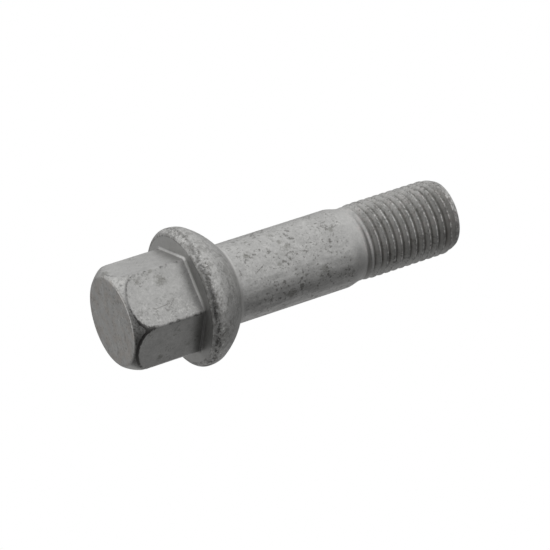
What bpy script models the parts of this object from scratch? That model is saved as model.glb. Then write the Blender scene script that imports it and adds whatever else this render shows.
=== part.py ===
"""Wheel bolt M14 x 1.5 with a 17 mm hexagon head, a round collar and a ball seat.

The bolt is one cold-forged piece with a rolled thread. It stands on its head: the origin is
at the centre of the head's end face, and +Z runs along the bolt to the tip of its thread.
Every size is in millimetres until MM turns it into Blender's metres.
"""

import math

import bmesh
import bpy

MM = 0.001

# Hexagon head, from the end face up to the collar
ACROSS_FLATS = 17.0
CORNER_RADIUS = 0.8          # rounding of the six long edges
HEAD_HEIGHT = 13.3
HEAD_FACE_DIAMETER = 15.8    # flat disc inside the domed end chamfer
HEAD_CHAMFER_ANGLE = 37.0    # where the dome leaves the end face, in degrees
HEAD_CHAMFER_HEIGHT = 2.6    # where the dome meets the six long edges
HEAD_FILLET = 0.35           # where the flats meet the collar

# Collar and ball seat
COLLAR_DIAMETER = 25.0
COLLAR_EDGE_INSET = 1.0      # radial run of the rounded edge on the head side
COLLAR_EDGE_DROP = 1.5       # its axial run
SEAT_RADIUS = 14.0           # the ball that the wheel's hole is shaped to
SEAT_HEIGHT = 8.35           # collar face to the circle where ball and shank meet
SEAT_LOWEST_ANGLE = 25.0     # the ball surface ends before it gets steeper than this, in degrees
SHOULDER_WIDTH = 0.48        # radial run of the rolled shoulder from the ball out to the collar
SEAT_FILLET = 1.3            # radius between the ball seat and the shank

# Plain shank and the taper down to the thread
SHANK_DIAMETER = 14.5
SHANK_LENGTH = 23.2          # ball seat to taper
TAPER_LENGTH = 2.6
TAPER_END_DIAMETER = 13.4

# Metric thread, right-hand
THREAD_DIAMETER = 13.86      # M14 less its tolerance
PITCH = 1.5
THREAD_ANGLE = 60.0
THREAD_DEPTH = 0.85
ROOT_WIDTH = PITCH / 6
THREAD_LENGTH = 20.05        # taper to tip face
THREAD_RISE = 2.6            # length over which the crests reach full height
RUNOUT_TURNS = 0.43          # part of the first turn over which the groove deepens
GROOVE_START_ANGLE = 160.0   # where round the bolt the groove begins, in degrees
GROOVE_START = 0.04          # how far above the taper it begins

# Rounded tip
TIP_FACE_DIAMETER = 12.3
TIP_ROUND_LENGTH = 2.6

# Facets
ROUND_STEPS = 36
ARC_STEPS = 6
CUTTER_MARGIN = 2.0          # how far a cutter reaches past what it cuts

# Heights that follow from the sizes above
COLLAR_FACE_Z = HEAD_HEIGHT
SEAT_END_Z = COLLAR_FACE_Z + SEAT_HEIGHT
TAPER_Z = SEAT_END_Z + SHANK_LENGTH
THREAD_Z = TAPER_Z + TAPER_LENGTH
TIP_Z = THREAD_Z + THREAD_LENGTH


def clear_scene():
    """Remove whatever the open file holds."""
    for obj in list(bpy.data.objects):
        bpy.data.objects.remove(obj, do_unlink=True)


def new_collection(name):
    collection = bpy.data.collections.new(name)
    bpy.context.scene.collection.children.link(collection)
    return collection


def coated_steel():
    """Matte grey zinc-flake coating."""
    material = bpy.data.materials.new("zinc_flake_coating")
    material.use_nodes = True
    shader = material.node_tree.nodes["Principled BSDF"]
    shader.inputs["Base Color"].default_value = (0.34, 0.34, 0.33, 1.0)
    shader.inputs["Metallic"].default_value = 0.6
    shader.inputs["Roughness"].default_value = 0.5
    return material


def arc(centre_r, centre_z, radius, start, end, steps=ARC_STEPS):
    """Points (r, z) on an arc, with angles in radians measured from the radial direction."""
    points = []
    for i in range(steps + 1):
        angle = start + (end - start) * i / steps
        points.append((centre_r + radius * math.cos(angle), centre_z + radius * math.sin(angle)))
    return points


def curve(start, bend, end, steps=ARC_STEPS):
    """Points on a quadratic curve that heads for its bend point and arrives from it."""
    points = []
    for i in range(steps + 1):
        t = i / steps
        points.append(tuple((1 - t) ** 2 * a + 2 * t * (1 - t) * b + t ** 2 * c
                            for a, b, c in zip(start, bend, end)))
    return points


def turned(name, profile, steps, collection):
    """Turn a profile of (r, z) points in millimetres, listed from top to bottom, about Z."""
    mesh = bpy.data.meshes.new(name)
    edges = [(i, i + 1) for i in range(len(profile) - 1)]
    mesh.from_pydata([(r * MM, 0.0, z * MM) for r, z in profile], edges, [])
    obj = bpy.data.objects.new(name, mesh)
    collection.objects.link(obj)
    screw = obj.modifiers.new("Turn", 'SCREW')
    screw.axis = 'Z'
    screw.steps = steps
    screw.render_steps = steps
    screw.use_merge_vertices = True
    screw.merge_threshold = 0.000001
    return obj


def as_cutter(obj):
    obj.hide_render = True
    obj.display_type = 'WIRE'
    return obj


def add_boolean(obj, name, operation, other):
    boolean = obj.modifiers.new(name, 'BOOLEAN')
    boolean.operation = operation
    boolean.solver = 'EXACT'
    boolean.object = other


def apply_modifiers(obj):
    """Replace the object's mesh by what its modifiers make of it."""
    depsgraph = bpy.context.evaluated_depsgraph_get()
    mesh = bpy.data.meshes.new_from_object(obj.evaluated_get(depsgraph))
    obj.modifiers.clear()
    obj.data = mesh
    mesh.name = obj.name


def tip_profile():
    """Flat end face and the rounded lead-in of the thread, a quarter of an ellipse's side."""
    face_r = TIP_FACE_DIAMETER / 2
    crest_r = THREAD_DIAMETER / 2
    points = [(0.0, TIP_Z)]
    for i in range(ARC_STEPS + 1):
        run = 1 - i / ARC_STEPS
        points.append((crest_r - (crest_r - face_r) * run ** 1.8, TIP_Z - TIP_ROUND_LENGTH * (1 - run)))
    return points


def seat_profile():
    """Fillet at the shank, ball seat, rolled shoulder, widest circle and rounded edge."""
    shank_r = SHANK_DIAMETER / 2
    collar_r = COLLAR_DIAMETER / 2
    ball_z = SEAT_END_Z - math.sqrt(SEAT_RADIUS ** 2 - shank_r ** 2)

    # The fillet touches both the ball and the shank from outside
    fillet_r = shank_r + SEAT_FILLET
    fillet_z = ball_z + math.sqrt((SEAT_RADIUS + SEAT_FILLET) ** 2 - fillet_r ** 2)
    fillet_end = math.atan2(ball_z - fillet_z, -fillet_r)
    points = arc(fillet_r, fillet_z, SEAT_FILLET, math.pi, fillet_end + 2 * math.pi)
    ball_start = fillet_end + math.pi
    reach = (collar_r - SHOULDER_WIDTH) / SEAT_RADIUS
    ball_end = math.acos(min(reach, math.cos(math.radians(SEAT_LOWEST_ANGLE))))
    points += arc(0.0, ball_z, SEAT_RADIUS, ball_start, ball_end)[1:]

    # The shoulder leaves the ball along its tangent and ends upright at the widest circle
    start_r, start_z = points[-1]
    widest_z = COLLAR_FACE_Z + COLLAR_EDGE_DROP
    bend_z = max(widest_z, start_z - (collar_r - start_r) / math.tan(ball_end))
    points += curve((start_r, start_z), (collar_r, bend_z), (collar_r, widest_z))[1:-1]

    edge_r = collar_r - COLLAR_EDGE_INSET
    for i in range(ARC_STEPS + 1):
        angle = 0.5 * math.pi * i / ARC_STEPS
        points.append((edge_r + COLLAR_EDGE_INSET * math.cos(angle),
                       COLLAR_FACE_Z + COLLAR_EDGE_DROP * (1 - math.sin(angle))))
    points.append((0.0, COLLAR_FACE_Z))
    return points


def make_blank(collection):
    """Everything round: collar, ball seat, shank, taper and the blank of the thread."""
    profile = tip_profile()
    profile.append((THREAD_DIAMETER / 2, THREAD_Z + THREAD_RISE))
    profile.append((TAPER_END_DIAMETER / 2, THREAD_Z))
    profile.append((SHANK_DIAMETER / 2, TAPER_Z))
    profile += seat_profile()
    return turned("turned_blank", profile, ROUND_STEPS, collection)


def make_hexagon(collection):
    """Hexagonal column: a profile turned in six steps, with its long edges rounded."""
    to_corner = 1 / math.cos(math.pi / 6)
    flat = ACROSS_FLATS / 2
    foot = flat + HEAD_FILLET
    profile = [(0.0, COLLAR_FACE_Z + CUTTER_MARGIN), (foot * to_corner, COLLAR_FACE_Z + CUTTER_MARGIN)]
    for r, z in arc(foot, COLLAR_FACE_Z - HEAD_FILLET, HEAD_FILLET, math.pi / 2, math.pi, 3):
        profile.append((r * to_corner, z))
    profile += [(flat * to_corner, -CUTTER_MARGIN), (0.0, -CUTTER_MARGIN)]
    hexagon = turned("hexagon", profile, 6, collection)
    hexagon.rotation_euler = (0.0, 0.0, math.radians(30.0))
    bevel = hexagon.modifiers.new("Round the corners", 'BEVEL')
    bevel.width = CORNER_RADIUS * math.tan(math.pi / 6) * MM
    bevel.segments = 3
    bevel.use_clamp_overlap = False
    bevel.limit_method = 'ANGLE'
    bevel.angle_limit = math.radians(45.0)
    return hexagon


def make_head_envelope(collection):
    """Turned body whose dome leaves the arcs of the end chamfer on the six flats."""
    face_r = HEAD_FACE_DIAMETER / 2
    centre_r = (ACROSS_FLATS / 2 - CORNER_RADIUS) / math.cos(math.pi / 6)
    edge_r = centre_r + CORNER_RADIUS
    bend_z = min(HEAD_CHAMFER_HEIGHT, (edge_r - face_r) * math.tan(math.radians(HEAD_CHAMFER_ANGLE)))
    outer_r = edge_r + CUTTER_MARGIN
    top = COLLAR_FACE_Z + 2 * CUTTER_MARGIN
    profile = [(0.0, top), (outer_r, top), (outer_r, HEAD_CHAMFER_HEIGHT)]
    profile += curve((edge_r, HEAD_CHAMFER_HEIGHT), (edge_r, bend_z), (face_r, 0.0))
    profile.append((0.0, 0.0))
    return turned("head_envelope", profile, 2 * ROUND_STEPS, collection)


def make_groove_cutter(collection):
    """Closed V-shaped coil that cuts the thread, lifted out of the metal where it begins."""
    crest_r = THREAD_DIAMETER / 2
    root_r = crest_r - THREAD_DEPTH
    outer_half = 0.47 * PITCH
    outer_r = root_r + (outer_half - ROOT_WIDTH / 2) / math.tan(math.radians(THREAD_ANGLE / 2))
    section = [(root_r, -ROOT_WIDTH / 2), (outer_r, -outer_half), (outer_r, outer_half),
               (root_r, ROOT_WIDTH / 2)]

    # Half a step off the blank's facets, so that no edges of the two lie on each other
    half_step = math.pi / ROUND_STEPS
    turns = math.ceil((THREAD_LENGTH - GROOVE_START + PITCH) / PITCH)
    steps = turns * ROUND_STEPS
    start_z = THREAD_Z + GROOVE_START
    mesh = bpy.data.meshes.new("thread_groove")
    bm = bmesh.new()
    verts = [bm.verts.new((r * MM, 0.0, (start_z + z) * MM)) for r, z in section]
    face = bm.faces.new(verts)
    bmesh.ops.spin(bm, geom=[face] + verts + list(face.edges), cent=(0, 0, 0), axis=(0, 0, 1),
                   dvec=(0, 0, PITCH / ROUND_STEPS * MM), angle=turns * 2 * math.pi, steps=steps)

    # The first sections are moved outwards, which makes the groove run out to nothing
    lift = THREAD_DEPTH + 0.15
    for i, vert in enumerate(bm.verts):
        turn = (i // len(section)) / ROUND_STEPS
        radius = math.hypot(vert.co.x, vert.co.y)
        moved = radius + lift * MM * max(0.0, 1 - turn / RUNOUT_TURNS) ** 2
        vert.co.x *= moved / radius
        vert.co.y *= moved / radius
    bmesh.ops.triangulate(bm, faces=bm.faces[:])
    bmesh.ops.recalc_face_normals(bm, faces=bm.faces[:])
    bm.to_mesh(mesh)
    bm.free()
    obj = bpy.data.objects.new("thread_groove", mesh)
    obj.rotation_euler = (0.0, 0.0, math.radians(GROOVE_START_ANGLE) + half_step)
    collection.objects.link(obj)
    return obj


def make_bolt():
    parts = new_collection("wheel_bolt")
    tools = new_collection("wheel_bolt_cutters")
    bolt = make_hexagon(parts)
    bolt.name = "wheel_bolt"
    add_boolean(bolt, "Chamfer the end", 'INTERSECT', as_cutter(make_head_envelope(tools)))
    add_boolean(bolt, "Join the shank", 'UNION', as_cutter(make_blank(tools)))
    add_boolean(bolt, "Cut the thread", 'DIFFERENCE', as_cutter(make_groove_cutter(tools)))
    apply_modifiers(bolt)
    bolt.data.shade_smooth()
    bolt.data.set_sharp_from_angle(angle=math.radians(25.0))
    bolt.data.materials.clear()
    bolt.data.materials.append(coated_steel())


clear_scene()
make_bolt()
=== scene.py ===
"""Wheel bolt M14 x 1.5 with a 17 mm hexagon head, a round collar and a ball seat.

The bolt is one forged piece, so its sections below add to one mesh, from the head's end face up to the tip
of the thread. It stands on its head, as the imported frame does. Lengths are in millimetres. Directions round
the bolt are in degrees from +X: in the picture 180 faces up, 240 is the lit flat and 300 the flat under it.
"""

import math

import bmesh
import bpy
from mathutils import Matrix, Vector, noise


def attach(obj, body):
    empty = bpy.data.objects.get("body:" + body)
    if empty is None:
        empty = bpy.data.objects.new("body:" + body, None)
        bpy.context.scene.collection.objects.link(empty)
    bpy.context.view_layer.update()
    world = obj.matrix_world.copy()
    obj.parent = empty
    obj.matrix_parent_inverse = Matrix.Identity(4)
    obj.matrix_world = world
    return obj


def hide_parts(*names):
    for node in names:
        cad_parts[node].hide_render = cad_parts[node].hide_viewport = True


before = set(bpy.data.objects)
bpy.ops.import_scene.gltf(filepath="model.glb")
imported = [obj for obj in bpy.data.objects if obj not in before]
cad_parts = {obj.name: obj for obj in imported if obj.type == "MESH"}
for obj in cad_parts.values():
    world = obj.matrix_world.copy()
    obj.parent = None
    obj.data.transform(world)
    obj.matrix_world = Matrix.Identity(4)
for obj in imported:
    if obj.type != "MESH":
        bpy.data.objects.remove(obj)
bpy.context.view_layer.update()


# Hexagon head. A round slug with a domed end is squeezed to a 17 mm hexagon in the forging press, so the dome
# stays as an arc at the end of each flat. The flats end in a small fillet, where the head meets the collar.
MM = 0.001
COLUMNS = 240                 # vertices round the bolt
ACROSS_FLATS = 17.0
CORNER_RADIUS = 0.8
HEAD_HEIGHT = 13.3
HEAD_FACE_RADIUS = 7.9
FACE_RINGS = (0.0, 2.5, 5.0, 6.6, 7.4)
RIM_START = (7.6, 0.0)        # the end face's rim is rounded between these two points
RIM_END = (8.2, 0.225)
RIM_ROUNDING = 0.15
DOME_ANGLE = math.radians(37.0)
DOME_HEIGHT = 2.6
DOME_STEPS = 26
DOME_FIRST_RADIUS = 8.25      # the dome's points go on from here, past the rounded rim
SLUG_CLEARANCE = 0.7          # how far the slug stands out past the hexagon's corners before it is squeezed
SLUG_BULGE = (0.15, 0.4)      # heights over the dome at which it has half and all of that clearance
FOOT_FILLET = 0.4
COLLAR_FACE_RADIUS = 11.45
SQUEEZE_SOFTNESS = 0.22       # rounding of the line where the dome meets a flat
CORNER_CROWDING = 0.6         # draws the columns together at the six corners
FLAT_ROWS = 20
FOOT_ROWS = 6
ANNULUS_ROWS = 7

FLAT_RADIUS = ACROSS_FLATS / 2
CORNER_CENTRE = (FLAT_RADIUS - CORNER_RADIUS) / math.cos(math.pi / 6)
CORNER_REACH = CORNER_CENTRE + CORNER_RADIUS
CORNER_START = math.atan2(CORNER_CENTRE / 2, FLAT_RADIUS)

bolt = bmesh.new()


def curve(start, bend, end, steps):
    """Points of a curve that leaves its start towards the bend and reaches its end from there."""
    points = []
    for i in range(steps + 1):
        t = i / steps
        points.append(tuple((1 - t) ** 2 * a + 2 * t * (1 - t) * b + t ** 2 * c
                            for a, b, c in zip(start, bend, end)))
    return points


def eased(corner_points, reach, steps=3):
    """A line of (radius, height) points with each corner in it rounded over the given reach."""
    line = [corner_points[0]]
    for before, corner, after in zip(corner_points, corner_points[1:], corner_points[2:]):
        into = Vector(before) - Vector(corner)
        out = Vector(after) - Vector(corner)
        span = min(reach, into.length * 0.45, out.length * 0.45)
        line += curve(tuple(Vector(corner) + into.normalized() * span), corner,
                      tuple(Vector(corner) + out.normalized() * span), steps)
    return line + [corner_points[-1]]


def evenly(low, high, count):
    """The values that follow low in equal steps, up to high."""
    return [low + (high - low) * i / count for i in range(1, count + 1)]


def turned(profile, climb=0.0):
    """Turn (radius, height) points in millimetres once about the axis, climbing if a climb is given."""
    section = bmesh.new()
    verts = [section.verts.new((radius * MM, 0.0, height * MM)) for radius, height in profile]
    edges = [section.edges.new(pair) for pair in zip(verts, verts[1:])]
    bmesh.ops.spin(section, geom=verts + edges, cent=(0, 0, 0), axis=(0, 0, 1), angle=2 * math.pi,
                   dvec=(0, 0, climb / COLUMNS * MM), steps=COLUMNS, use_merge=climb == 0.0)
    return section


def join(section):
    """Add a finished section to the bolt."""
    passing = bpy.data.meshes.new("section")
    section.to_mesh(passing)
    section.free()
    bolt.from_mesh(passing)
    bpy.data.meshes.remove(passing)


def column_angle(vert):
    """Direction of a vertex from the axis, set exactly on its column."""
    step = 2 * math.pi / COLUMNS
    return round(math.atan2(vert.co.y, vert.co.x) / step) * step


def put(vert, radius, angle, height):
    vert.co = (radius * math.cos(angle) * MM, radius * math.sin(angle) * MM, height * MM)


def soft_min(a, b, softness):
    """The lower of two lengths, with a rounded change from one to the other."""
    overlap = max(softness - abs(a - b), 0.0) / softness
    return min(a, b) - overlap * overlap * softness / 4


def from_flat_middle(angle):
    """How far a direction is from the middle of the nearest flat; a flat faces +X."""
    return abs((angle + math.pi / 6) % (math.pi / 3) - math.pi / 6)


def hexagon_radius(angle):
    """Distance from the axis to the hexagon with rounded corners."""
    from_flat = from_flat_middle(angle)
    if from_flat < CORNER_START:
        return FLAT_RADIUS / math.cos(from_flat)
    from_corner = math.pi / 6 - from_flat
    return (CORNER_CENTRE * math.cos(from_corner)
            + math.sqrt(CORNER_RADIUS ** 2 - (CORNER_CENTRE * math.sin(from_corner)) ** 2))


dome_bend = min(DOME_HEIGHT, (CORNER_REACH - HEAD_FACE_RADIUS) * math.tan(DOME_ANGLE))
dome = curve((HEAD_FACE_RADIUS, 0.0), (CORNER_REACH, dome_bend), (CORNER_REACH, DOME_HEIGHT), DOME_STEPS)
slug_radius = CORNER_REACH + SLUG_CLEARANCE
slug_start = DOME_HEIGHT + SLUG_BULGE[1]
fillet_start = HEAD_HEIGHT - FOOT_FILLET
annulus_start = FLAT_RADIUS + FOOT_FILLET

slug = [(radius, 0.0) for radius in FACE_RINGS]
slug += eased([RIM_START, (HEAD_FACE_RADIUS, 0.0), RIM_END], RIM_ROUNDING)
slug += [point for point in dome if point[0] > DOME_FIRST_RADIUS]
slug += [(CORNER_REACH + SLUG_CLEARANCE / 2, DOME_HEIGHT + SLUG_BULGE[0]), (slug_radius, slug_start)]
slug += [(slug_radius, height) for height in evenly(slug_start, fillet_start, FLAT_ROWS)]
slug += [(slug_radius, fillet_start + FOOT_FILLET * math.sin(math.pi / 2 * i / FOOT_ROWS))
         for i in range(1, FOOT_ROWS)]
slug += [(radius, HEAD_HEIGHT)
         for radius in [annulus_start] + evenly(annulus_start, COLLAR_FACE_RADIUS, ANNULUS_ROWS)]

head = turned(slug)
for vert in head.verts:
    radius, height = math.hypot(vert.co.x, vert.co.y) / MM, vert.co.z / MM
    angle = column_angle(vert)
    crowding = CORNER_CROWDING / 6 * math.sin(6 * angle)
    if height < HEAD_HEIGHT - 0.001:
        angle += crowding
        rise = max(0.0, height - fillet_start)
        flare = FOOT_FILLET - math.sqrt(max(FOOT_FILLET ** 2 - rise ** 2, 0.0))
        radius = soft_min(radius, hexagon_radius(angle) + flare, SQUEEZE_SOFTNESS)
    else:
        inward = 1 - (radius - annulus_start) / (COLLAR_FACE_RADIUS - annulus_start)
        angle += crowding * inward
        radius += (hexagon_radius(angle) - FLAT_RADIUS) * inward
    put(vert, radius, angle, height)
join(head)


# Collar and ball seat. The collar is the widest part, pressed out in the same blow as the head. Its far side
# is the R14 ball surface that centres the wheel, and a fillet leads from it into the shank.
COLLAR_RADIUS = 12.5
COLLAR_WIDEST = 14.8
COLLAR_EDGE = ((11.57, 13.31), (12.06, 13.6), (12.36, 14.05), (12.48, 14.45))   # radius and height
COLLAR_EASING = 0.3
SEAT_BALL_RADIUS = 14.0
SEAT_END = 21.65
SHOULDER_WIDTH = 0.48
SEAT_FILLET = 1.3
SHANK_RADIUS = 7.25
SHOULDER_STEPS = 8
BALL_ROWS = 18
SEAT_FILLET_ROWS = 8

ball_centre = SEAT_END - math.sqrt(SEAT_BALL_RADIUS ** 2 - SHANK_RADIUS ** 2)
ball_low = math.acos((COLLAR_RADIUS - SHOULDER_WIDTH) / SEAT_BALL_RADIUS)
ball_start = (COLLAR_RADIUS - SHOULDER_WIDTH, ball_centre + SEAT_BALL_RADIUS * math.sin(ball_low))
shoulder_bend = max(COLLAR_WIDEST, ball_start[1] - SHOULDER_WIDTH / math.tan(ball_low))
fillet_radius = SHANK_RADIUS + SEAT_FILLET
fillet_height = ball_centre + math.sqrt((SEAT_BALL_RADIUS + SEAT_FILLET) ** 2 - fillet_radius ** 2)
ball_high = math.atan2(fillet_height - ball_centre, fillet_radius)

widest = (COLLAR_RADIUS, COLLAR_WIDEST)
collar = eased([(COLLAR_FACE_RADIUS, HEAD_HEIGHT), *COLLAR_EDGE, widest], COLLAR_EASING, 4)
collar += curve(widest, (COLLAR_RADIUS, shoulder_bend), ball_start, SHOULDER_STEPS)[1:]
for angle in evenly(ball_low, ball_high, BALL_ROWS):
    collar.append((SEAT_BALL_RADIUS * math.cos(angle), ball_centre + SEAT_BALL_RADIUS * math.sin(angle)))
for angle in evenly(ball_high, 0.0, SEAT_FILLET_ROWS):
    collar.append((fillet_radius - SEAT_FILLET * math.cos(angle),
                   fillet_height - SEAT_FILLET * math.sin(angle)))
join(turned(collar))


# Shank and taper. The plain shank is the drawn wire's own width, and the press draws it in by half a
# millimetre where the thread is to be rolled. The thread's first groove starts on that neck.
TAPER_START = 44.65
NECK_RADIUS = 6.69
NECK_HEIGHT = 47.7
THREAD_ROWS_START = 46.55     # the rows run level below this height and along the thread above it
SHANK_ROWS = 18
TAPER_ROWS = 8


def smooth(value, low, high):
    """A ramp from 0 to 1 with soft ends."""
    t = min(max((value - low) / (high - low), 0.0), 1.0)
    return t * t * (3 - 2 * t)


def taper_radius(height):
    return SHANK_RADIUS + (NECK_RADIUS - SHANK_RADIUS) * smooth(height, TAPER_START, NECK_HEIGHT)


shank = [(SHANK_RADIUS, fillet_height)]
shank += [(SHANK_RADIUS, height) for height in evenly(fillet_height, TAPER_START, SHANK_ROWS)]
shank += [(taper_radius(height), height) for height in evenly(TAPER_START, THREAD_ROWS_START, TAPER_ROWS)]
join(turned(shank))


# Thread. It is rolled between two dies, not cut, so its crests are rounded. Its first groove deepens over
# about a third of a turn, and it fades out over the rounded tip.
PITCH = 1.5
THREAD_RADIUS = 6.93
THREAD_DEPTH = 0.85
ROOT_WIDTH = PITCH / 6
FLANK_SLOPE = 1 / math.tan(math.radians(30.0))
CREST_SOFTNESS = 0.1
ROOT_SOFTNESS = 0.12
CREST_RISE_END = 50.3
GROOVE_START_ANGLE = math.radians(165.0)
GROOVE_START = 47.49          # height of the first groove's middle, as if it didn't drift
RUNOUT_TURNS = 0.36
RUNOUT_RISE = 0.7             # how much shallower the groove is where it starts
RUNOUT_CURVE = 1.2            # how late in the run-out it deepens
RUNOUT_DRIFT = 0.35           # how far, in turns, the groove's start lies towards the next turn
FIRST_TURN_SQUEEZE = 0.7      # the die's end makes the side of the first groove next to the neck steeper
TIP_HEIGHT = 67.5
TIP_ROUND_LENGTH = 2.6
TIP_ROUND_CURVE = 1.8
TIP_FACE_RADIUS = 6.15
TIP_EDGE = ((TIP_FACE_RADIUS + 0.02, TIP_HEIGHT - 0.03), (TIP_FACE_RADIUS - 0.25, TIP_HEIGHT))
TIP_EASING = 0.14
TIP_RINGS = (5.6, 4.5, 3.0, 1.5, 0.0)
TIP_ROWS_END = 67.25          # the rows run level again above this height
GROOVE_END_LENGTH = 0.45      # below that height, where the last groove gets shallower
GROOVE_END_RISE = 0.4
GROOVE_ROWS = (0.0, 0.07, 0.14, 0.26, 0.40, 0.53, 0.61, 0.68, 0.75)   # distance from the groove's middle
SPARE_TURNS = 2               # turned below the thread; rows past its limits are put on them and merge


def blank_radius(height):
    """The neck, the cylinder that is rolled and the tip's rounding, without the groove."""
    if height < NECK_HEIGHT:
        return taper_radius(height)
    radius = NECK_RADIUS + (THREAD_RADIUS - NECK_RADIUS) * smooth(height, NECK_HEIGHT, CREST_RISE_END)
    run = max(0.0, 1 - (TIP_HEIGHT - height) / TIP_ROUND_LENGTH)
    return radius - (THREAD_RADIUS - TIP_FACE_RADIUS) * run ** TIP_ROUND_CURVE


def thread_radius(angle, height):
    """Radius of the rolled surface, from the distance to the nearest turn of the groove."""
    blank = blank_radius(height)
    turns = (height - GROOVE_START) / PITCH
    part = (angle - GROOVE_START_ANGLE) / (2 * math.pi) % 1.0
    nearest = part + round(turns - part)
    if nearest < 0.0:
        return blank
    share = min(nearest / RUNOUT_TURNS, 1.0)
    offset = turns - nearest - RUNOUT_DRIFT * (1 - share) ** 2
    across = abs(offset) * PITCH
    if offset < 0.0 and nearest < 1.0:
        across *= 1 + FIRST_TURN_SQUEEZE * (1 - nearest)
    rise = RUNOUT_RISE * (1 - share ** RUNOUT_CURVE)
    rise += GROOVE_END_RISE * smooth(height, TIP_ROWS_END - GROOVE_END_LENGTH, TIP_ROWS_END)
    groove_root = THREAD_RADIUS - THREAD_DEPTH + rise
    groove_flank = groove_root + (across - ROOT_WIDTH / 2) * FLANK_SLOPE
    groove = -soft_min(-groove_root, -groove_flank, ROOT_SOFTNESS)
    return soft_min(blank, groove, CREST_SOFTNESS)


row_places = sorted({-place for place in GROOVE_ROWS} | set(GROOVE_ROWS))
turn_count = math.ceil((TIP_ROWS_END - THREAD_ROWS_START) / PITCH) + SPARE_TURNS
lowest = GROOVE_START - PITCH * (GROOVE_START_ANGLE / (2 * math.pi) + SPARE_TURNS)
thread = turned([(THREAD_RADIUS, lowest + place) for place in row_places], climb=PITCH)
one_turn = thread.faces[:]
for i in range(1, turn_count + 1):
    made = bmesh.ops.duplicate(thread, geom=one_turn)["geom"]
    bmesh.ops.translate(thread, vec=(0.0, 0.0, i * PITCH * MM),
                        verts=[part for part in made if isinstance(part, bmesh.types.BMVert)])
for vert in thread.verts:
    angle = column_angle(vert)
    height = min(max(vert.co.z / MM, THREAD_ROWS_START), TIP_ROWS_END)
    put(vert, thread_radius(angle, height), angle, height)
join(thread)

tip = eased([(blank_radius(TIP_ROWS_END), TIP_ROWS_END), *TIP_EDGE], TIP_EASING)
tip += [(radius, TIP_HEIGHT) for radius in TIP_RINGS]
join(turned(tip))


# The forging as one skin. The sections above share their rings, so merging their doubles closes the bolt, and
# the small hollows of a barrel-coated forging are pressed inwards into it.
WELD = 0.008
SLIVER = 0.002
HOLLOW_DEPTH = 0.018
HOLLOW_SIZE = 0.45            # as a noise scale, per millimetre
PIT_DEPTH = 0.008
PIT_SIZE = 1.7
THREAD_HOLLOWS = 0.6          # the dies press some of the hollows out of the thread
CORNER_WEAR = 0.9             # how far the rubbing reaches from a corner, an arc and the rim
ARC_WEAR = 0.5
RIM_WEAR = 0.6
CORNER_WEAR_START = (1.0, 2.8)          # heights between which a corner's rubbing comes in
DOME_LINE = 0.15              # half the width of the change from dome to flat
FOOT_LINE = (0.1, 0.38)       # distances from the foot's fillet between which its line fades
THREAD_MARK_START = THREAD_ROWS_START + 0.4

bmesh.ops.remove_doubles(bolt, verts=bolt.verts[:], dist=WELD * MM)
bmesh.ops.dissolve_degenerate(bolt, edges=bolt.edges[:], dist=SLIVER * MM)
bmesh.ops.recalc_face_normals(bolt, faces=bolt.faces[:])
bolt.normal_update()


def dome_radius(height):
    """Radius of the slug's domed end at a height."""
    for (low_radius, low), (high_radius, high) in zip(dome, dome[1:]):
        if low <= height < high:
            return low_radius + (high_radius - low_radius) * (height - low) / (high - low)
    return CORNER_REACH + 1.0


def mark_head(vert, radius, angle, height):
    """Note how near a vertex of the head is to its corners, arcs, rim and dome."""
    corner = 1 - smooth((math.pi / 6 - from_flat_middle(angle)) * radius, 0.0, CORNER_WEAR)
    past_flat = dome_radius(height) - hexagon_radius(angle)
    arc = 1 - smooth(abs(past_flat), 0.0, ARC_WEAR)
    vert[rubbed_layer] = max(corner * smooth(height, *CORNER_WEAR_START), arc)
    vert[rim_layer] = 1 - smooth(math.hypot(radius - HEAD_FACE_RADIUS, height), 0.0, RIM_WEAR)
    vert[dome_layer] = smooth(-past_flat, -DOME_LINE, DOME_LINE) * smooth(height, 0.02, 0.2)


def hollow(place):
    """Depth of the forging's hollows and pits at a place."""
    return (HOLLOW_DEPTH * (0.5 + 0.5 * noise.noise(place * HOLLOW_SIZE))
            + PIT_DEPTH * (0.5 + 0.5 * noise.noise(place * PIT_SIZE)))


rubbed_layer = bolt.verts.layers.float.new("rubbed_edge")
rim_layer = bolt.verts.layers.float.new("end_rim")
dome_layer = bolt.verts.layers.float.new("end_dome")
foot_layer = bolt.verts.layers.float.new("flat_foot")
depth_layer = bolt.verts.layers.float.new("thread_depth")
for vert in bolt.verts:
    radius, height = math.hypot(vert.co.x, vert.co.y) / MM, vert.co.z / MM
    angle = math.atan2(vert.co.y, vert.co.x)
    vert[depth_layer] = -1.0
    if height < HEAD_HEIGHT + 0.001:
        from_foot = math.hypot(radius - hexagon_radius(angle) - FOOT_FILLET * 0.3,
                               height - HEAD_HEIGHT + FOOT_FILLET * 0.3)
        vert[foot_layer] = 1 - smooth(from_foot, *FOOT_LINE)
    if height < HEAD_HEIGHT - 0.02:
        mark_head(vert, radius, angle, height)
    elif height > THREAD_MARK_START:
        vert[depth_layer] = min(max((blank_radius(height) - radius) / THREAD_DEPTH, 0.0), 1.0)
    depth = hollow(vert.co / MM)
    if height > THREAD_ROWS_START:
        depth *= THREAD_HOLLOWS
    if 0.001 < height < TIP_HEIGHT - 0.001:
        vert.co -= vert.normal * depth * MM

mesh = bpy.data.meshes.new("wheel_bolt_forging")
bolt.to_mesh(mesh)
bolt.free()
mesh.shade_smooth()
forging = bpy.data.objects.new("wheel_bolt_forging", mesh)
bpy.context.scene.collection.objects.link(forging)
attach(forging, "root")
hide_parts("wheel_bolt")


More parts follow.
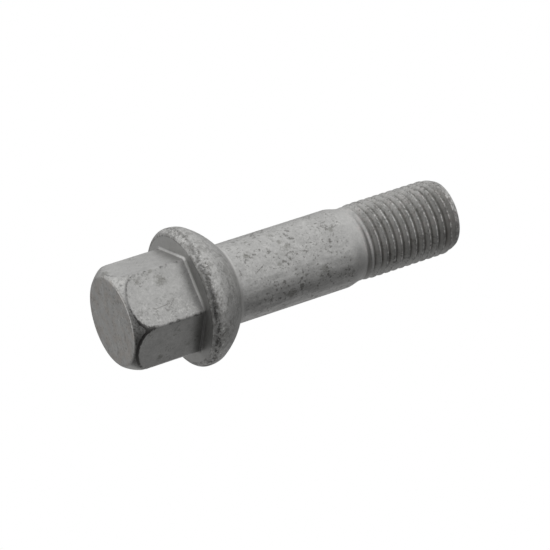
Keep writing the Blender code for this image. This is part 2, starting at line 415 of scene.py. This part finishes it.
# Zinc-flake coating. The bolt is tumbled in grey zinc and aluminium flake and baked. It is dull, lightly
# metallic and finely mottled, and rubbed dark along its edges and the collar's rim. Painted shade darkens the
# thread's roots and first groove, the flats' feet and the seat's end, and painted light lies on the thread's
# flanks and crests, the flats' feet, the end face's rim and the fillet under the seat.
GREY = (0.475, 0.473, 0.463)
SPECK_AND_SHADE = (0.14, 0.136, 0.126)
RUBBED_AND_SHADE = (0.05, 0.048, 0.046)
PALE_AND_PAINTED_LIGHT = (0.80, 0.795, 0.775)
BROWN = (0.42, 0.36, 0.31)
REDDISH = (0.42, 0.34, 0.33)
DARK_REDDISH = (0.2, 0.165, 0.155)
SMUDGE = (0.16, 0.158, 0.138)
METALLIC = 0.7
GRAIN_DISTANCE = 0.00004      # in metres
GRAIN_STRENGTH = 0.4
RIM_HEIGHTS = (13.5, 15.1)
SEAT_HEIGHTS = (14.2, 20.6)
SHANK_HEIGHTS = (22.4, 44.5)
TURN_HEIGHTS = (49.3, 66.9)
FIRST_GROOVE_HEIGHTS = (46.9, 49.0)
WORN_LINE_HEIGHT = 14.05

coating = bpy.data.materials.new("zinc_flake_coating")
coating.use_nodes = True
tree = coating.node_tree
shader = tree.nodes["Principled BSDF"]


def node(tree, kind, settings=None, **inputs):
    """Add a node, set its options, and set or link its inputs by name, or by number as i0, i1 and so on."""
    made = tree.nodes.new(kind)
    for name, value in (settings or {}).items():
        setattr(made, name, value)
    for name, value in inputs.items():
        numbered = name[0] == "i" and name[1:].isdigit()
        socket = made.inputs[int(name[1:]) if numbered else name.replace("_", " ")]
        if isinstance(value, bpy.types.NodeSocket):
            tree.links.new(value, socket)
        else:
            socket.default_value = value
    return made


def math_node(tree, operation, a, b=0.0, clamp=False):
    return node(tree, "ShaderNodeMath", {"operation": operation, "use_clamp": clamp}, i0=a, i1=b).outputs[0]


def vector_node(tree, operation, a, b=(0.0, 0.0, 0.0), scale=1.0):
    """A vector node's result: a number for a length, distance or dot product, and otherwise a vector."""
    made = node(tree, "ShaderNodeVectorMath", {"operation": operation}, i0=a, i1=b, i3=scale)
    return made.outputs["Value" if operation in ("LENGTH", "DISTANCE", "DOT_PRODUCT") else "Vector"]


def between(tree, value, low, high, to_low=0.0, to_high=1.0):
    """A smooth ramp of a value from one range to another."""
    return node(tree, "ShaderNodeMapRange", {"interpolation_type": "SMOOTHSTEP"}, Value=value, From_Min=low,
                From_Max=high, To_Min=to_low, To_Max=to_high).outputs["Result"]


def noise_value(tree, place, scale, detail=2.0, roughness=0.5):
    return node(tree, "ShaderNodeTexNoise", None, Vector=place, Scale=scale, Detail=detail,
                Roughness=roughness).outputs[0]


def blend_colour(tree, factor, first, second, kind="MIX"):
    settings = {"data_type": "RGBA", "blend_type": kind}
    return node(tree, "ShaderNodeMix", settings, i0=factor, i6=first, i7=second).outputs[2]


# Specks: islands of a fine noise above a threshold, lifted by a broad noise so that they cluster
specks = bpy.data.node_groups.new("Coating specks", "ShaderNodeTree")
specks.interface.new_socket(name="Place", in_out="INPUT", socket_type="NodeSocketVector")
for name in ("Fineness", "Clustering", "Threshold"):
    specks.interface.new_socket(name=name, in_out="INPUT", socket_type="NodeSocketFloat")
specks.interface.new_socket(name="Mask", in_out="OUTPUT", socket_type="NodeSocketFloat")
given = specks.nodes.new("NodeGroupInput").outputs
fine = noise_value(specks, given["Place"], given["Fineness"], 3.0, 0.6)
broad = noise_value(specks, given["Place"], given["Clustering"], 2.0, 0.5)
level = math_node(specks, "ADD", fine, math_node(specks, "MULTIPLY", broad, 0.55))
over = math_node(specks, "SUBTRACT", level, given["Threshold"])
specks.links.new(between(specks, over, -0.02, 0.1), specks.nodes.new("NodeGroupOutput").inputs["Mask"])

position = node(tree, "ShaderNodeTexCoord").outputs["Object"]
place = vector_node(tree, "SCALE", position, scale=1 / MM)
second_place = vector_node(tree, "ADD", place, (31.0, 7.0, 3.0))
axes = node(tree, "ShaderNodeSeparateXYZ", None, Vector=place).outputs
height = axes["Z"]
outward = node(tree, "ShaderNodeCombineXYZ", None, X=axes["X"], Y=axes["Y"]).outputs[0]
around = vector_node(tree, "NORMALIZE", outward)
distance = vector_node(tree, "LENGTH", outward)


def own(name):
    """A value that the skin's section above keeps on the mesh."""
    return node(tree, "ShaderNodeAttribute", {"attribute_name": name}).outputs["Fac"]


def ramp(value, low, high, to_low=0.0, to_high=1.0):
    """A smooth ramp in the coating's own tree."""
    return between(tree, value, low, high, to_low, to_high)


def fade(value, low, high):
    """A ramp that falls from 1 to 0."""
    return between(tree, value, low, high, 1.0, 0.0)


def times(*values):
    product = values[0]
    for value in values[1:]:
        product = math_node(tree, "MULTIPLY", product, value)
    return product


def plus(*values):
    total = values[0]
    for value in values[1:]:
        total = math_node(tree, "ADD", total, value)
    return total


def swing(value):
    """A noise, measured from its middle."""
    return math_node(tree, "SUBTRACT", value, 0.5)


def band(low, high, soft):
    """Heights between two limits, with soft ends."""
    return times(ramp(height, low - soft, low + soft), fade(height, high - soft, high + soft))


def side(degrees, low=-1.0, high=1.0):
    """A ramp round the bolt that is highest on one side; its limits are cosines of the angle from there."""
    aim = (math.cos(math.radians(degrees)), math.sin(math.radians(degrees)), 0.0)
    return ramp(vector_node(tree, "DOT_PRODUCT", around, aim), low, high)


def speck_mask(place, fineness, clustering, threshold):
    return node(tree, "ShaderNodeGroup", {"node_tree": specks}, Place=place, Fineness=fineness,
                Clustering=clustering, Threshold=threshold).outputs["Mask"]


# Blends a mark colour into the colour: a speck, smear or wear mark, or painted light or shade.
def paint_stain_or_light(colour, mask, strength, stain_or_light_colour):
    return blend_colour(tree, math_node(tree, "MULTIPLY", mask, strength, clamp=True), colour, stain_or_light_colour + (1.0,))


rubbed_edge = own("rubbed_edge")
end_rim = own("end_rim")
end_dome = own("end_dome")
flat_foot = own("flat_foot")
thread_depth = own("thread_depth")

end_face = fade(height, 0.05, 0.3)
head_zone = fade(height, HEAD_HEIGHT - 0.05, HEAD_HEIGHT + 0.1)
rim_zone = times(band(*RIM_HEIGHTS, 0.2), ramp(distance, 11.3, 11.7))
seat_zone = band(*SEAT_HEIGHTS, 0.5)
shank_zone = band(*SHANK_HEIGHTS, 0.5)
thread_zone = ramp(thread_depth, -0.3, 0.0)
turns_zone = times(thread_zone, band(*TURN_HEIGHTS, 0.5))

grain = noise_value(tree, place, 3.2, 4.0, 0.7)
mottle = noise_value(tree, place, 1.1, 4.0, 0.7)
wander = noise_value(tree, place, 1.4, 4.0, 0.7)
cloud = noise_value(tree, place, 0.3, 3.0, 0.55)
streak = noise_value(tree, vector_node(tree, "MULTIPLY", place, (1.0, 1.0, 0.22)), 1.3, 3.0, 0.6)
smear = noise_value(tree, vector_node(tree, "MULTIPLY", place, (0.28, 1.0, 1.0)), 0.9, 3.0, 0.6)
roughened = plus(times(seat_zone, 0.55), times(shank_zone, 0.15), rim_zone, times(thread_zone, 0.9))


def flake_grey():
    """The coating's grey: grain of the flakes, soft clouds, and streaks along the shank's dark side."""
    grain_depth = plus(0.25, times(roughened, 0.14))
    tone = plus(ramp(cloud, 0.3, 0.7, 0.94, 1.06),
                times(swing(grain), 2.6, grain_depth),
                times(swing(mottle), 2.2, grain_depth),
                times(swing(streak), shank_zone, side(300.0, 0.0, 0.9), 0.9))
    grey = node(tree, "ShaderNodeCombineColor", None, Red=tone, Green=tone, Blue=tone).outputs[0]
    return blend_colour(tree, 1.0, GREY + (1.0,), grey, "MULTIPLY")


def tinted(colour):
    """Faint brown and dark smears on the end face, and faint red on the thread."""
    brown = ramp(noise_value(tree, place, 0.5, 2.0, 0.5), 0.4, 0.65)
    colour = paint_stain_or_light(colour, times(brown, end_face), 0.35, BROWN)
    colour = paint_stain_or_light(colour, times(ramp(smear, 0.5, 0.75), end_face), 0.3, SPECK_AND_SHADE)
    return paint_stain_or_light(colour, times(ramp(mottle, 0.5, 0.62), thread_zone, side(240.0, 0.2, 0.9)), 0.28, REDDISH)


def specked(colour):
    """Dark specks: larger and clustered on the shank, finer on the thread and the head."""
    for fineness, clustering, threshold, zone, strength in (
            (1.5, 0.33, 0.87, shank_zone, 0.7),
            (2.6, 0.6, 0.88, shank_zone, 0.6),
            (2.4, 0.5, 0.85, turns_zone, 0.7),
            (2.2, 0.4, 0.90, head_zone, 0.45),
            (1.9, 0.6, 0.87, end_face, 0.45)):
        mask = times(speck_mask(place, fineness, clustering, threshold), zone)
        colour = paint_stain_or_light(colour, mask, strength, SPECK_AND_SHADE)
    return colour


def worn_collar(colour):
    """Collar and ball seat: mottled dark and pale, with a black broken line along the rim."""
    seat_and_rim = plus(times(seat_zone, 0.75), rim_zone)
    pale_seat_and_rim = plus(times(seat_zone, 0.7), rim_zone)
    colour = paint_stain_or_light(colour, times(speck_mask(place, 0.9, 0.4, 0.81), seat_zone), 0.38, SPECK_AND_SHADE)
    colour = paint_stain_or_light(colour, times(speck_mask(place, 2.3, 0.5, 0.83), seat_and_rim), 0.6, SPECK_AND_SHADE)
    colour = paint_stain_or_light(colour, times(speck_mask(second_place, 2.6, 0.6, 0.90), pale_seat_and_rim), 0.6, PALE_AND_PAINTED_LIGHT)

    face = times(ramp(distance, 8.9, 9.3), band(HEAD_HEIGHT - 0.02, HEAD_HEIGHT + 0.06, 0.04))
    colour = paint_stain_or_light(colour, face, 0.3, PALE_AND_PAINTED_LIGHT)
    face_edge = times(ramp(distance, 11.25, 11.45), fade(distance, 11.75, 12.0), band(13.2, 13.7, 0.1))
    colour = paint_stain_or_light(colour, times(face_edge, ramp(wander, 0.4, 0.55)), 0.6, SPECK_AND_SHADE)

    waver = ramp(noise_value(tree, place, 0.8, 3.0, 0.6), 0.3, 0.7, -0.16, 0.16)
    line_height = plus(WORN_LINE_HEIGHT, times(side(180.0, 0.75, 0.98), 0.45))
    from_line = math_node(tree, "ABSOLUTE", math_node(tree, "SUBTRACT", plus(height, waver), line_height))
    line_width = plus(ramp(noise_value(tree, place, 0.55, 3.0, 0.6), 0.4, 0.66, 0.0, 0.24),
                      times(side(300.0, 0.3, 0.95), 0.12))
    line = times(fade(math_node(tree, "SUBTRACT", from_line, line_width), -0.18, 0.42),
                 ramp(grain, 0.38, 0.6, 1.0, 0.6), plus(0.62, times(side(300.0, 0.2, 0.9), 0.36)))
    colour = paint_stain_or_light(colour, line, 1.0, RUBBED_AND_SHADE)

    edge = ramp(distance, 11.5, 11.8)
    flecks = times(speck_mask(second_place, 1.9, 0.7, 0.80), band(13.5, 14.3, 0.25), edge)
    colour = paint_stain_or_light(colour, flecks, 0.55, PALE_AND_PAINTED_LIGHT)
    chips = times(speck_mask(place, 1.7, 0.7, 0.80), band(13.5, 15.6, 0.3), edge)
    return paint_stain_or_light(colour, chips, 0.55, SPECK_AND_SHADE)


def edge_wear_and_highlight(colour):
    """Rubbed edges of the head: soft smudges, black only at the corner that faces down in the picture; a
    painted rim highlight.
    """
    end_part = fade(height, 2.4, 4.2)
    heavy = times(side(290.0, 0.72, 0.97), end_part)
    rub = ramp(plus(times(rubbed_edge, plus(0.34, times(heavy, 0.45))), wander), 0.72, 1.08)
    colour = paint_stain_or_light(colour, rub, 0.9, RUBBED_AND_SHADE)
    past_corner = times(side(302.0, 0.84, 0.96), end_part, end_dome, ramp(wander, 0.35, 0.6, 1.0, 0.75))
    colour = paint_stain_or_light(colour, past_corner, 0.9, RUBBED_AND_SHADE)
    corner_facet = times(side(268.0, 0.97, 0.995), end_dome, ramp(wander, 0.42, 0.58))
    colour = paint_stain_or_light(colour, corner_facet, 0.35, RUBBED_AND_SHADE)
    arc = times(side(222.0, 0.95, 0.99), ramp(rubbed_edge, 0.5, 1.0), fade(height, 3.0, 4.0))
    colour = paint_stain_or_light(colour, times(arc, ramp(wander, 0.42, 0.6)), 0.6, RUBBED_AND_SHADE)
    rim_side = side(243.0, 0.7, 0.95)
    colour = paint_stain_or_light(colour, times(ramp(end_rim, 0.25, 0.5), ramp(wander, 0.48, 0.56), rim_side), 0.5, RUBBED_AND_SHADE)
    # Painted highlight along the rim on the lit side.
    return paint_stain_or_light(colour, times(ramp(end_rim, 0.75, 0.95), rim_side), 0.55, PALE_AND_PAINTED_LIGHT)


def flat_wear_and_light(colour):
    """Flats of the head: pale and dark specks, a pale arc, and painted shade and a painted highlight along
    their feet.
    """
    pale_specks = times(speck_mask(second_place, 2.0, 0.7, 0.84), side(258.0, 0.965, 0.995), head_zone)
    colour = paint_stain_or_light(colour, times(pale_specks, fade(end_dome, 0.0, 0.5)), 0.3, PALE_AND_PAINTED_LIGHT)
    lower_specks = times(speck_mask(place, 2.8, 0.8, 0.83), side(256.0, 0.94, 0.99), head_zone)
    colour = paint_stain_or_light(colour, times(lower_specks, ramp(height, 8.0, 12.0, 1.0, 0.3)), 0.45, SPECK_AND_SHADE)
    upper_specks = times(speck_mask(second_place, 2.4, 0.5, 0.84), side(216.0, 0.96, 0.99))
    colour = paint_stain_or_light(colour, times(upper_specks, fade(height, 4.0, 9.0)), 0.5, SPECK_AND_SHADE)
    colour = paint_stain_or_light(colour, times(end_dome, side(215.0, 0.9, 0.99), ramp(wander, 0.4, 0.55)), 0.5, PALE_AND_PAINTED_LIGHT)

    # Painted shade over the flats before their feet, stronger on the lower flat at 300 degrees.
    foot_shade = times(ramp(height, 10.4, 12.8), fade(flat_foot, 0.2, 0.7), head_zone)
    lower_more = plus(0.36, times(side(300.0, 0.75, 0.95), 0.28))
    colour = paint_stain_or_light(colour, times(foot_shade, lower_more), 0.85, RUBBED_AND_SHADE)
    # Painted highlight along the feet on the lit side.
    painted_foot_highlight = times(flat_foot, side(228.0, 0.72, 0.92), ramp(wander, 0.35, 0.6, 0.6, 1.0))
    colour = paint_stain_or_light(colour, painted_foot_highlight, 0.6, PALE_AND_PAINTED_LIGHT)
    # Painted shade over the foot line on the lower flat.
    return paint_stain_or_light(colour, times(flat_foot, side(300.0, 0.7, 0.9)), 0.65, RUBBED_AND_SHADE)


def paler_seat_and_painted_light(colour):
    """The seat is a little paler, with painted shade at its end; the fillet under it has a painted highlight,
    the neck is paler.
    """
    # Painted shade at the seat's end.
    colour = paint_stain_or_light(colour, band(19.8, 21.0, 0.4), 0.12, RUBBED_AND_SHADE)
    colour = paint_stain_or_light(colour, seat_zone, 0.12, PALE_AND_PAINTED_LIGHT)
    # Painted highlight on the fillet under the seat, on the lit side.
    colour = paint_stain_or_light(colour, times(band(21.4, 22.0, 0.25), side(240.0, 0.1, 0.8)), 0.5, PALE_AND_PAINTED_LIGHT)
    return paint_stain_or_light(colour, band(45.4, 47.6, 0.6), 0.16, PALE_AND_PAINTED_LIGHT)


def thread_wear_and_light(colour):
    """Thread: painted shade in roots and first groove, dark reddish last turns, painted light on flanks and in
    places on crests.
    """
    # Painted shade in the thread's roots, darker towards 280 degrees.
    painted_root_shade = plus(0.45, times(side(280.0, 0.3, 0.9), 0.35))
    colour = paint_stain_or_light(colour, times(ramp(thread_depth, 0.7, 1.0), painted_root_shade), 1.0, SPECK_AND_SHADE)
    first_groove = band(*FIRST_GROOVE_HEIGHTS, 0.3)
    # Painted shade in the first groove, darker towards 285 degrees.
    painted_groove_shade = times(first_groove, ramp(thread_depth, 0.25, 0.7), side(285.0, 0.1, 0.8))
    colour = paint_stain_or_light(colour, painted_groove_shade, 0.55, RUBBED_AND_SHADE)
    last_turns = times(band(64.6, 66.9, 0.4), side(270.0, 0.3, 0.95), ramp(mottle, 0.4, 0.6))
    colour = paint_stain_or_light(colour, last_turns, 0.4, DARK_REDDISH)
    # More painted shade over the first groove below its crests.
    colour = paint_stain_or_light(colour, times(first_groove, ramp(thread_depth, 0.08, 0.2)), 0.4, SPECK_AND_SHADE)
    colour = paint_stain_or_light(colour, times(band(62.8, 66.2, 0.9), side(255.0, 0.2, 0.9)), 0.3, SPECK_AND_SHADE)
    top_specks = times(speck_mask(second_place, 2.2, 0.45, 0.81), turns_zone, side(205.0, 0.5, 0.95))
    colour = paint_stain_or_light(colour, top_specks, 0.55, SPECK_AND_SHADE)

    # Painted light that lifts the flanks out of their shade.
    painted_flank_light = times(ramp(thread_depth, 0.05, 0.3), fade(thread_depth, 0.6, 0.9))
    colour = paint_stain_or_light(colour, painted_flank_light, 0.32, PALE_AND_PAINTED_LIGHT)
    # Crests: darkened in places, and a painted highlight in places on the lit side.
    crests = times(fade(thread_depth, 0.02, 0.12), ramp(height, 49.2, 51.0), thread_zone)
    colour = paint_stain_or_light(colour, times(crests, fade(wander, 0.44, 0.52)), 0.45, SPECK_AND_SHADE)
    return paint_stain_or_light(colour, times(crests, ramp(wander, 0.48, 0.6), side(262.0, 0.3, 0.95)), 0.6, PALE_AND_PAINTED_LIGHT)


# Scratches and larger smudges, placed where the bolt in the photograph has them
SMUDGES = (                   # direction in degrees, height and reach in millimetres
    (222, 7.5, 1.3), (217, 3.4, 0.7), (211, 6.5, 0.5), (176, 0.5, 1.1), (318, 5.0, 0.7), (312, 10.4, 0.5),
    (220, 25.1, 0.9), (196, 26.7, 0.5), (246, 30.1, 0.5), (232, 30.4, 0.4), (197, 31.5, 0.6),
    (294, 31.5, 1.2), (215, 32.0, 0.6), (226, 32.7, 0.9), (272, 38.5, 0.9), (222, 42.1, 0.7),
)
SCRATCHES = (                 # direction and height of both ends, and width
    ((252, 4.9), (251, 7.3), 0.1),
    ((248, 15.6), (254, 19.0), 0.14),
    ((248, 25.5), (242, 27.0), 0.12),
)


def on_skin(degrees, height):
    """A point of the surface, by its direction and height in millimetres."""
    angle = math.radians(degrees)
    radius = SHANK_RADIUS
    if height < HEAD_HEIGHT:
        radius = hexagon_radius(angle)
    elif height < SEAT_END:
        radius = math.sqrt(SEAT_BALL_RADIUS ** 2 - (height - ball_centre) ** 2)
    return Vector((radius * math.cos(angle), radius * math.sin(angle), height))


def smudge(degrees, height, reach):
    """A soft, ragged spot on the surface."""
    away = vector_node(tree, "DISTANCE", place, tuple(on_skin(degrees, height)))
    return fade(plus(away, times(swing(wander), reach * 3.0)), reach * 0.3, reach)


def scratch(start, end, width):
    """A thin line between two points of the surface."""
    run = on_skin(*end) - on_skin(*start)
    run_direction = tuple(run.normalized())
    from_start = vector_node(tree, "SUBTRACT", place, tuple(on_skin(*start)))
    along = vector_node(tree, "DOT_PRODUCT", from_start, run_direction)
    along = node(tree, "ShaderNodeClamp", None, Value=along, Min=0.0, Max=run.length).outputs[0]
    nearest = vector_node(tree, "SCALE", run_direction, scale=along)
    return fade(vector_node(tree, "DISTANCE", from_start, nearest), width * 0.3, width)


def strongest(masks):
    total = 0.0
    for mask in masks:
        total = math_node(tree, "MAXIMUM", mask, total)
    return total


def marked(colour):
    """The smudges and scratches."""
    colour = paint_stain_or_light(colour, strongest([smudge(*mark) for mark in SMUDGES]), 0.5, SMUDGE)
    lines = strongest([scratch(*mark) for mark in SCRATCHES])
    return paint_stain_or_light(colour, times(lines, ramp(grain, 0.35, 0.5, 0.5, 1.0)), 0.6, SPECK_AND_SHADE)


colour = flake_grey()
for wear in (tinted, specked, worn_collar, edge_wear_and_highlight, flat_wear_and_light, paler_seat_and_painted_light, thread_wear_and_light, marked):
    colour = wear(colour)
bump = node(tree, "ShaderNodeBump", None, Strength=GRAIN_STRENGTH, Distance=GRAIN_DISTANCE,
            Height=plus(grain, mottle))
tree.links.new(colour, shader.inputs["Base Color"])
tree.links.new(plus(ramp(grain, 0.3, 0.7, 0.36, 0.44), times(roughened, 0.1)), shader.inputs["Roughness"])
tree.links.new(bump.outputs["Normal"], shader.inputs["Normal"])
shader.inputs["Metallic"].default_value = METALLIC
mesh.materials.append(coating)


# Camera. It stands where the photograph was taken from: near the head's end and below it, so the bolt lies
# across the picture with its head at the lower left.
CAMERA_PLACE = Vector((-0.16307, -0.45416, -0.19969))
CAMERA_RIGHT = Vector((0.15205, -0.49275, 0.85678)).normalized()
CAMERA_UPWARD = Vector((-0.93964, 0.19677, 0.27992)).normalized()
LENS = 199.84
SENSOR_WIDTH = 36.0

CAMERA_BACK = CAMERA_RIGHT.cross(CAMERA_UPWARD).normalized()
CAMERA_UP = CAMERA_BACK.cross(CAMERA_RIGHT).normalized()
camera_data = bpy.data.cameras.new("camera")
camera_data.lens = LENS
camera_data.sensor_width = SENSOR_WIDTH
camera_data.clip_start = 0.01
camera_data.clip_end = 100.0
camera = bpy.data.objects.new("camera", camera_data)
turn = Matrix((CAMERA_RIGHT, CAMERA_UP, CAMERA_BACK)).transposed()
camera.matrix_world = Matrix.Translation(CAMERA_PLACE) @ turn.to_4x4()
bpy.context.scene.collection.objects.link(camera)
bpy.context.scene.camera = camera


# Studio floor. A pale sheet under the head, which can be seen from above only: the photograph looks up at the
# head's end from below the floor's level. It glows a little, so that it is pale from every side.
FLOOR_SIZE = 2.0
FLOOR_DROP = 0.00003
PAPER_GREY = (0.82, 0.82, 0.82, 1.0)
PAPER_ROUGHNESS = 0.9
PAPER_GLOW = 0.4
WHITE = (1.0, 1.0, 1.0, 1.0)

sheet = bmesh.new()
bmesh.ops.create_grid(sheet, x_segments=1, y_segments=1, size=FLOOR_SIZE,
                      matrix=Matrix.Translation((0.0, 0.0, -FLOOR_DROP)))
floor_mesh = bpy.data.meshes.new("studio_floor")
sheet.to_mesh(floor_mesh)
sheet.free()
floor = bpy.data.objects.new("studio_floor", floor_mesh)
bpy.context.scene.collection.objects.link(floor)
paper = bpy.data.materials.new("pale_paper")
paper.use_nodes = True
paper_tree = paper.node_tree
paper_shader = paper_tree.nodes["Principled BSDF"]
paper_shader.inputs["Base Color"].default_value = PAPER_GREY
paper_shader.inputs["Roughness"].default_value = PAPER_ROUGHNESS
paper_shader.inputs["Emission Color"].default_value = WHITE
paper_shader.inputs["Emission Strength"].default_value = PAPER_GLOW
clear = node(paper_tree, "ShaderNodeBsdfTransparent")
facing = node(paper_tree, "ShaderNodeNewGeometry")
sided = node(paper_tree, "ShaderNodeMixShader", None, i0=facing.outputs["Backfacing"],
             i1=paper_shader.outputs[0], i2=clear.outputs[0])
paper_tree.links.new(sided.outputs[0], paper_tree.nodes["Material Output"].inputs["Surface"])
floor_mesh.materials.append(paper)
floor.visible_shadow = False
floor.visible_diffuse = False
floor.visible_glossy = False


# Studio light. A white tent round the bolt, lit by a wide ceiling and three soft panels. The camera itself
# sees plain white.
TENT_LEVEL = 0.03
CEILING = ((0, 1, 0), 1.05, 1.0)       # direction right, up and back from the picture, strength, tightness
RIGHT_FRONT = ((1, 0, 1), 0.9, 5.0)
LEFT_SIDE = ((-1, 0, 0), 0.85, 4.0)
BEHIND_BELOW = ((0, -1, -1), 0.65, 5.0)


def toward(right, up, back):
    """A direction given as the picture shows it."""
    return (CAMERA_RIGHT * right + CAMERA_UP * up + CAMERA_BACK * back).normalized()


world = bpy.data.worlds.new("white_tent")
bpy.context.scene.world = world
world.use_nodes = True
tent = world.node_tree
background = tent.nodes["Background"]
direction = node(tent, "ShaderNodeTexCoord").outputs["Generated"]
glow = TENT_LEVEL
for aim, strength, tightness in (CEILING, RIGHT_FRONT, LEFT_SIDE, BEHIND_BELOW):
    along = vector_node(tent, "DOT_PRODUCT", direction, toward(*aim))
    panel = math_node(tent, "POWER", math_node(tent, "MAXIMUM", along, 0.0), tightness)
    glow = math_node(tent, "ADD", glow, math_node(tent, "MULTIPLY", panel, strength))
seen = node(tent, "ShaderNodeLightPath").outputs["Is Camera Ray"]
unseen = math_node(tent, "SUBTRACT", 1.0, seen)
level = math_node(tent, "ADD", math_node(tent, "MULTIPLY", glow, unseen), seen)
tent.links.new(level, background.inputs["Strength"])
background.inputs["Color"].default_value = WHITE

bpy.context.scene.view_settings.view_transform = "Standard"
